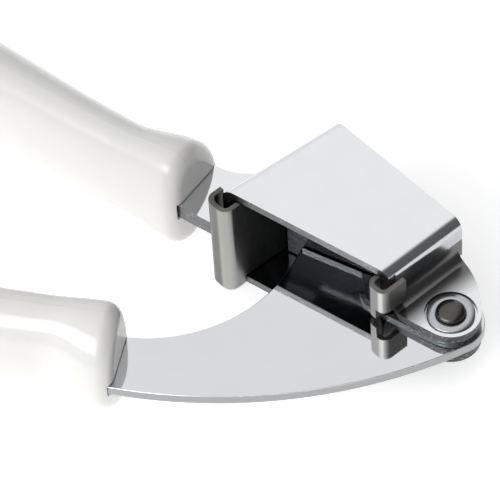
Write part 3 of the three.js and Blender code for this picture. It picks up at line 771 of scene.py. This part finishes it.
def turned(name, outline, level, steps=72):
    """Spins a half outline of (radius, height) about the pivot's axis. Points at radius 0 are poles."""
    shape = bmesh.new()
    rings = []
    for radius, height in outline:
        if radius < POLE_RADIUS:
            rings.append([shape.verts.new((pivot.x, pivot.y, level + height))])
            continue
        ring = []
        for step in range(steps):
            angle = 2 * math.pi * step / steps
            x = pivot.x + radius * math.cos(angle)
            y = pivot.y + radius * math.sin(angle)
            ring.append(shape.verts.new((x, y, level + height)))
        rings.append(ring)
    closed = len(rings[0]) > 1
    following = rings[1:] + rings[:1] if closed else rings[1:]
    for low, high in zip(rings, following):
        for step in range(steps):
            after = (step + 1) % steps
            corners = []
            for ring, at in ((low, step), (low, after), (high, after), (high, step)):
                corner = ring[at % len(ring)]
                if corner not in corners:
                    corners.append(corner)
            shape.faces.new(corners)
    bmesh.ops.recalc_face_normals(shape, faces=shape.faces)
    mesh = bpy.data.meshes.new(name)
    shape.to_mesh(mesh)
    shape.free()
    return smooth(new_object(name, mesh))


def turned_steel(name, tone_low, tone_high, base_roughness):
    """Plain steel with turning rings about the pivot."""
    material, tree = start_material(name)
    place = tree.node("ShaderNodeTexCoord").outputs["Object"]
    centred = tree.node("ShaderNodeMapping", None, {"Vector": place, "Location": (-pivot.x, -pivot.y, 0)})
    parts = tree.node("ShaderNodeSeparateXYZ", None, {"Vector": centred.outputs[0]})
    x = Value(tree, parts.outputs[0])
    y = Value(tree, parts.outputs[1])
    radius = (x * x + y * y) ** 0.5
    rings = tree.node("ShaderNodeCombineXYZ", None, {"X": radius * 3200.0}).outputs[0]
    turning = noise(tree, rings, 1.0, detail=2.0)
    film = noise(tree, place, 420.0, detail=4.0, roughness=0.65)
    tone = colour_mix(tree, film, tone_low, tone_high)
    roughness = base_roughness + 0.12 * film + 0.08 * turning
    skin = bump(tree, turning, 0.01 * MM, 0.6)
    finish_material(tree, Base_Color=tone, Metallic=1.0, Roughness=roughness, Normal=skin)
    return material


rivet_steel = turned_steel("rivet_steel", (0.065, 0.06, 0.057, 1), (0.15, 0.14, 0.13, 1), 0.14)
washer_steel = turned_steel("washer_steel", (0.44, 0.465, 0.49, 1), (0.6, 0.62, 0.64, 1), 0.16)

rivet_low, rivet_high = (corner[2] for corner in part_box("pivot_rivet"))
head_reach = 2.6 * MM
shank_reach = 2.1 * MM
head_height = 1.2 * MM
head_rim = 0.25 * MM
head_break = 0.1 * MM
dome_fullness = 0.85
dome_steps = 10
head_base = rivet_high - middle_level - head_height
half_outline = [(shank_reach, head_base), (head_reach - head_break, head_base)]
for step in range(dome_steps):
    angle = math.pi / 2 * step / dome_steps
    rise = head_rim + (head_height - head_rim) * math.sin(angle) ** dome_fullness
    half_outline.append((head_reach * math.cos(angle), head_base + rise))
half_outline.append((0, rivet_high - middle_level))
whole_outline = [(radius, -height) for radius, height in half_outline[::-1]] + half_outline
rivet = turned("pivot_rivet_fine", whole_outline, middle_level)
rivet.data.materials.append(rivet_steel)
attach(rivet, CHAMBER_BODY)
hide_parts("pivot_rivet")

washer_inner = 2.25 * MM
washer_outer = 4.2 * MM
broken = 0.1 * MM
for node in ("upper_washer", "lower_washer"):
    low, high = (corner[2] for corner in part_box(node))
    outline = [
        (washer_inner + broken, low),
        (washer_outer - broken, low),
        (washer_outer, low + broken),
        (washer_outer, high - broken),
        (washer_outer - broken, high),
        (washer_inner + broken, high),
        (washer_inner, high - broken),
        (washer_inner, low + broken),
    ]
    washer = turned(node + "_fine", outline, 0)
    washer.data.materials.append(washer_steel)
    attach(washer, CHAMBER_BODY)
    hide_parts(node)
print("rivet heads reach", round(rivet_low / MM, 2), "and", round(rivet_high / MM, 2), "mm")

# %% [markdown]
# ## The grips
#
# Both grips are the same moulding, used once each way up. Its shape follows a rule, so Geometry Nodes make
# it: rings of points stand along the grip, and each ring is two half superellipses that meet on the crown,
# a boxy one on the inner side and a round one on the outer side. The widths, the crown and the height come
# from a few stations joined by smooth steps. Both ends are rolled over and closed by a flat cap, and a
# slight crease is left along the crown, where the halves of the mould met.

# %% The grip's stations
STATIONS = [0, 3, 14, 66, 100, 112]
INNER_SIDE = [-7.5, -7.5, -7.3, -7.6, -7.2, -6.7]
CROWN = [-2.0, -2.0, -2.4, -1.8, -1.8, -1.8]
OUTER_SIDE = [7.4, 7.4, 4.4, 7.4, 5.0, 3.8]
HALF_HEIGHT = [11.3, 11.3, 10.5, 11.4, 10.3, 9.4]


def station_steps(values):
    """The station pairs between which a value changes: start, end and change, in metres."""
    for index in range(len(STATIONS) - 1):
        change = values[index + 1] - values[index]
        if change:
            yield STATIONS[index] * MM, STATIONS[index + 1] * MM, change * MM


def profile(distance, values):
    """A value at one distance, as a number."""
    total = values[0] * MM
    for start, end, change in station_steps(values):
        share = min(1, max(0, (distance - start) / (end - start)))
        total += change * share * share * (3 - 2 * share)
    return total


def profile_nodes(tree, distance, values):
    """The same value as nodes: the first station's value plus a smooth step to each next one."""
    total = None
    for start, end, change in station_steps(values):
        step = tree.value("ShaderNodeMapRange", {"interpolation_type": "SMOOTHSTEP"}, {
            "Value": distance,
            "From Min": start,
            "From Max": end,
            "To Min": 0.0,
            "To Max": change,
        })
        total = step if total is None else total + step
    return total + values[0] * MM


print("waist of the grip is", round(profile(14 * MM, OUTER_SIDE) / MM, 2), "mm on the outer side")


# %% [markdown]
# The tree starts from a flat grid: one side of it runs along the grip, ring by ring, and the other runs
# around it. Every point is then set on its ring, and the two edges that meet are merged.

# %% The grip tree
MERGE_DISTANCE = 0.004 * MM
GRIP_INPUTS = [
    ("Length", "NodeSocketFloat"),
    ("Front Round", "NodeSocketFloat"),
    ("Tail Round", "NodeSocketFloat"),
    ("Tail Inset", "NodeSocketFloat"),
    ("Inner Power", "NodeSocketFloat"),
    ("Outer Power", "NodeSocketFloat"),
    ("Crease", "NodeSocketFloat"),
    ("Around", "NodeSocketInt"),
    ("End Rings", "NodeSocketInt"),
    ("Body Rings", "NodeSocketInt"),
    ("Finish", "NodeSocketMaterial"),
]


def ring_places(tree, given, ring):
    """How far along the grip a ring stands, how much it is drawn in, and 0 at the two cap centres."""
    length, front, tail = given["Length"], given["Front Round"], given["Tail Round"]
    end_rings, body_rings = given["End Rings"], given["Body Rings"]
    quarter = math.pi / 2
    front_turn = ((ring - 1) / end_rings).clamped() * quarter
    body_share = ((ring - 1 - end_rings) / body_rings).clamped()
    tail_turn = ((ring - 1 - end_rings - body_rings) / end_rings).clamped() * quarter
    front_part = front * (1 - front_turn.cosine())
    body_part = (length - front - tail) * body_share
    distance = front_part + body_part + tail * tail_turn.sine()
    front_inset = front * (1 - front_turn.sine())
    tail_inset = tail * given["Tail Inset"] * (1 - tail_turn.cosine())
    last = 2 * end_rings + body_rings + 2
    open_share = ring.clamped() * (last - ring).clamped()
    return distance, front_inset + tail_inset, open_share


def grip_tree():
    group, tree, source = new_geometry_tree("moulded grip", GRIP_INPUTS)
    given = {name: Value(tree, source.outputs[name]) for name, kind in GRIP_INPUTS}
    around = given["Around"]
    grid = tree.node("GeometryNodeMeshGrid", None, {
        "Size X": 1.0,
        "Size Y": 1.0,
        "Vertices X": 2 * given["End Rings"] + given["Body Rings"] + 3,
        "Vertices Y": around + 1,
    })
    index = tree.value("GeometryNodeInputIndex")
    ring = ((index + 0.5) / (around + 1)).math("FLOOR")
    angle = (index - ring * (around + 1)) / around * (2 * math.pi)
    distance, inset, open_share = ring_places(tree, given, ring)
    inner = profile_nodes(tree, distance, INNER_SIDE)
    crown = profile_nodes(tree, distance, CROWN)
    outer = profile_nodes(tree, distance, OUTER_SIDE)
    height = profile_nodes(tree, distance, HALF_HEIGHT) - inset
    cosine = angle.cosine()
    sine = angle.sine()
    outside = cosine > 0.0
    power = 2 / (given["Inner Power"] + (given["Outer Power"] - given["Inner Power"]) * outside)
    width = outside * (outer - crown - inset) - (1 - outside) * (crown - inner - inset)
    share = abs(cosine) ** power
    crown_height = height * (1 - given["Crease"] * share)
    spot = tree.node("ShaderNodeCombineXYZ", None, {
        "X": distance,
        "Y": crown + width * share * open_share,
        "Z": sine.sign() * abs(sine) ** power * crown_height * open_share,
    })
    placed = tree.node("GeometryNodeSetPosition", None, {
        "Geometry": grid.outputs[0],
        "Position": spot.outputs[0],
    })
    closed = tree.node("GeometryNodeMergeByDistance", None, {
        "Geometry": placed.outputs[0],
        "Distance": MERGE_DISTANCE,
    })
    whole = tree.node("GeometryNodeRealizeInstances", None, {"Geometry": closed.outputs[0]})
    painted = tree.node("GeometryNodeSetMaterial", None, {
        "Geometry": whole.outputs[0],
        "Material": given["Finish"],
    })
    tree.node("NodeGroupOutput", None, {"Geometry": painted.outputs[0]})
    return group


# %% [markdown]
# ## White gloss plastic
#
# A slightly warm white moulding. The surface is nearly a mirror under its white, with a very fine ripple
# from the mould, a hairline where the mould halves met, and faint rubbing all over. The hairline
# follows the crown, so it reads an attribute of the piece: each point's distance from the crown line.

# %% White plastic material
def white_moulding():
    material, tree = start_material("white_plastic")
    place = tree.node("ShaderNodeTexCoord").outputs["Object"]
    off_seam = tree.value("ShaderNodeAttribute", {"attribute_name": "off_seam"}, None, output=2)
    ripple = noise(tree, place, 260.0, detail=2.0)
    handling = noise(tree, place, 90.0, detail=5.0, roughness=0.62)
    grit = noise(tree, place, 3800.0, detail=2.0)
    parting = (1 - off_seam / (0.12 * MM)).clamped()
    tone = colour_mix(tree, handling, (0.7, 0.69, 0.665, 1), (0.74, 0.73, 0.71, 1))
    line_tone = colour_mix(tree, parting * 0.25, tone, (0.5, 0.49, 0.46, 1))
    roughness = 0.13 + 0.09 * handling * handling + 0.04 * grit + 0.1 * parting
    wavy = bump(tree, ripple, 0.02 * MM, 0.35)
    lined = bump(tree, parting, 0.04 * MM, 0.6, wavy)
    finish_material(
        tree,
        Base_Color=line_tone,
        Roughness=roughness,
        Normal=lined,
        IOR=1.5,
        Subsurface_Weight=0.12,
        Subsurface_Scale=1.2 * MM,
        Coat_Weight=0.25,
        Coat_Roughness=0.05,
    )
    return material


# %% [markdown]
# A grip is made along +X, its outer side to +Y, and then set on its tang. Its place is measured on the
# frame's own solid: where the front face stands along the grip's direction, and how far its inner side is.

# %% The two grips
grip_finish = white_moulding()
moulded_grip = grip_tree()
GRIP_EDGE = 0.1 * MM
SLOT_GAP = 0.3 * MM
SLOT_START, SLOT_MOUTH_END = -2 * MM, 4 * MM
STRAP_START, STRAP_END = 7.3 * MM, 70.3 * MM
STRAP_INNER, STRAP_OUTER = -5.1 * MM, 2.1 * MM


def measured(node, direction):
    """The lowest reach of a frame solid along a level direction."""
    return min(vertex.co.dot(direction) for vertex in frame["nodes"][node].data.vertices)


def grip_place(node, angle, outward_turn):
    axis = Vector((math.cos(angle), math.sin(angle), 0))
    outward = Vector((math.cos(angle + outward_turn), math.sin(angle + outward_turn), 0))
    front = axis * measured(node, axis) + outward * (measured(node, outward) - INNER_SIDE[0] * MM)
    upward = axis.cross(outward)
    turn = Matrix((axis, outward, upward)).transposed().to_4x4()
    return Matrix.Translation(Vector((front.x, front.y, middle_level))) @ turn


def face_outwards(piece):
    shape = bmesh.new()
    shape.from_mesh(piece.data)
    bmesh.ops.recalc_face_normals(shape, faces=shape.faces)
    shape.to_mesh(piece.data)
    shape.free()


def mark_seam(piece):
    distances = [
        abs(vertex.co.y - profile(vertex.co.x, CROWN)) for vertex in piece.data.vertices
    ]
    attribute = piece.data.attributes.new("off_seam", "FLOAT", "POINT")
    attribute.data.foreach_set("value", distances)


def make_grip(node, body, angle, outward_turn, slot_sides, slot_half):
    mesh = bpy.data.meshes.new(node + "_fine")
    piece = new_object(node + "_fine", mesh)
    add_nodes(
        piece,
        moulded_grip,
        Length=112 * MM,
        Front_Round=3 * MM,
        Tail_Round=9 * MM,
        Tail_Inset=0.45,
        Inner_Power=2.8,
        Outer_Power=2.0,
        Crease=0.04,
        Around=96,
        End_Rings=12,
        Body_Rings=90,
        Finish=grip_finish,
    )
    bake(piece)
    face_outwards(piece)
    inner, outer = slot_sides
    slot_outline = [
        (SLOT_START, inner - SLOT_GAP),
        (SLOT_MOUTH_END, inner - SLOT_GAP),
        (STRAP_START, STRAP_INNER),
        (STRAP_END, STRAP_INNER),
        (STRAP_END, STRAP_OUTER),
        (STRAP_START, STRAP_OUTER),
        (SLOT_MOUTH_END, outer + SLOT_GAP),
        (SLOT_START, outer + SLOT_GAP),
    ]
    reach = slot_half + SLOT_GAP
    cut(piece, prism("slot", slot_outline, -reach, reach))
    smooth(piece)
    roll_edges(piece, GRIP_EDGE, segments=2)
    bake(piece, grip_finish)
    mark_seam(piece)
    piece.data.transform(grip_place(node, angle, outward_turn))
    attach(piece, body)
    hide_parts(node)
    print(piece.name, len(piece.data.polygons), "faces")


quarter_turn = math.pi / 2
plunger_grip_angle = math.radians(203)
tang_sides, tang_half = (-5.5 * MM, 5.6 * MM), 1.63 * MM
arm_sides, arm_half = (-5 * MM, 6.1 * MM), 1 * MM
make_grip("chamber_grip", CHAMBER_BODY, math.pi, -quarter_turn, tang_sides, tang_half)
make_grip("plunger_grip", PLUNGER_BODY, plunger_grip_angle, quarter_turn, arm_sides, arm_half)

# %% [markdown]
# ## Floor, camera and lights
#
# The press lies on a pale table. The table glows a little, so that the contact shadows stay light.

# %% Floor
def floor_material():
    material, tree = start_material("pale_floor")
    place = tree.node("ShaderNodeTexCoord").outputs["Object"]
    mottle = noise(tree, place, 9.0, detail=3.0)
    tone = colour_mix(tree, mottle, (0.9, 0.9, 0.9, 1), (0.93, 0.93, 0.93, 1))
    finish_material(
        tree,
        Base_Color=tone,
        Roughness=0.7 + 0.1 * mottle,
        Emission_Color=(1, 1, 1, 1),
        Emission_Strength=0.45,
    )
    return material


FLOOR_REACH = 3
FLOOR_THICKNESS = 0.01
floor_outline = [
    (-FLOOR_REACH, -FLOOR_REACH),
    (FLOOR_REACH, -FLOOR_REACH),
    (FLOOR_REACH, FLOOR_REACH),
    (-FLOOR_REACH, FLOOR_REACH),
]
floor = prism("floor", floor_outline, -FLOOR_THICKNESS, 0)
floor.data.materials.append(floor_material())
print("floor is", 2 * FLOOR_REACH, "m wide")

# %% [markdown]
# The camera looks down from the front right through a long lens, so the press is drawn almost without
# perspective.

# %% Camera
CAMERA_AZIMUTH = math.radians(38.4)
CAMERA_ELEVATION = math.radians(51.2)
CAMERA_ROLL = math.radians(4.0)
CAMERA_DISTANCE = 700 * MM
camera_target = Vector((-14.6 * MM, -9.5 * MM, middle_level))

back = Vector((
    math.sin(CAMERA_AZIMUTH) * math.cos(CAMERA_ELEVATION),
    -math.cos(CAMERA_AZIMUTH) * math.cos(CAMERA_ELEVATION),
    math.sin(CAMERA_ELEVATION),
))
lens = bpy.data.cameras.new("camera")
lens.lens = 288
lens.sensor_width = 36
lens.clip_start = 0.01
lens.clip_end = 20
camera = bpy.data.objects.new("camera", lens)
bpy.context.scene.collection.objects.link(camera)
right = Vector((0, 0, 1)).cross(back).normalized()
up = back.cross(right)
level = Matrix((right, up, back)).transposed()
camera.matrix_world = (
    Matrix.Translation(camera_target + back * CAMERA_DISTANCE)
    @ level.to_4x4()
    @ Matrix.Rotation(-CAMERA_ROLL, 4, "Z")
)
bpy.context.scene.camera = camera
print("camera stands", round(CAMERA_DISTANCE / MM), "mm from the press")

# %% [markdown]
# Mirrors look like what stands around them, so most of the light comes from the surround: a pale ceiling,
# a pale left and back, and a dark room on the right. One soft panel at the front lifts the sides that face
# the camera.

# %% Lights
PALE_SIDE = (-0.8, 0.6, 0)
DARK_SIDE = (0.9, 0.43, 0)
DARKEST, PALE_GAIN = 0.13, 0.79


def panel(name, direction, distance, size, power):
    light = bpy.data.lights.new(name, "AREA")
    light.shape = "RECTANGLE"
    light.size, light.size_y = size
    light.energy = power
    made = bpy.data.objects.new(name, light)
    bpy.context.scene.collection.objects.link(made)
    towards = Vector(direction).normalized()
    made.location = camera_target + towards * distance
    made.rotation_euler = towards.to_track_quat("Z", "Y").to_euler()


def studio_surround():
    """A pale ceiling, left and back, with a dark room on the right and a dark horizon at the front."""
    world = bpy.data.worlds.new("surround")
    world.use_nodes = True
    world.node_tree.nodes.clear()
    tree = Tree(world.node_tree)
    direction = tree.node("ShaderNodeTexCoord").outputs["Generated"]
    height = tree.node("ShaderNodeSeparateXYZ", None, {"Vector": direction}).outputs[2]
    ceiling = smooth_step(tree, height, -0.1, 0.45)
    pale_side = smooth_step(tree, dot(tree, direction, PALE_SIDE), -0.1, 0.4)
    pale = ceiling.math("MAXIMUM", pale_side)
    dark_side = smooth_step(tree, dot(tree, direction, DARK_SIDE), 0.1, 0.5)
    room = tree.node("ShaderNodeBackground", None, {
        "Color": (0.985, 0.99, 1, 1),
        "Strength": DARKEST + PALE_GAIN * pale * (1 - dark_side),
    })
    tree.node("ShaderNodeOutputWorld", None, {"Surface": room.outputs[0]})
    bpy.context.scene.world = world


studio_surround()
panel("front panel", (-0.1, -0.95, 0.7), 0.5, (0.4, 0.25), 1.2)
bpy.context.scene.view_settings.view_transform = "Standard"
print("one panel under a pale ceiling")
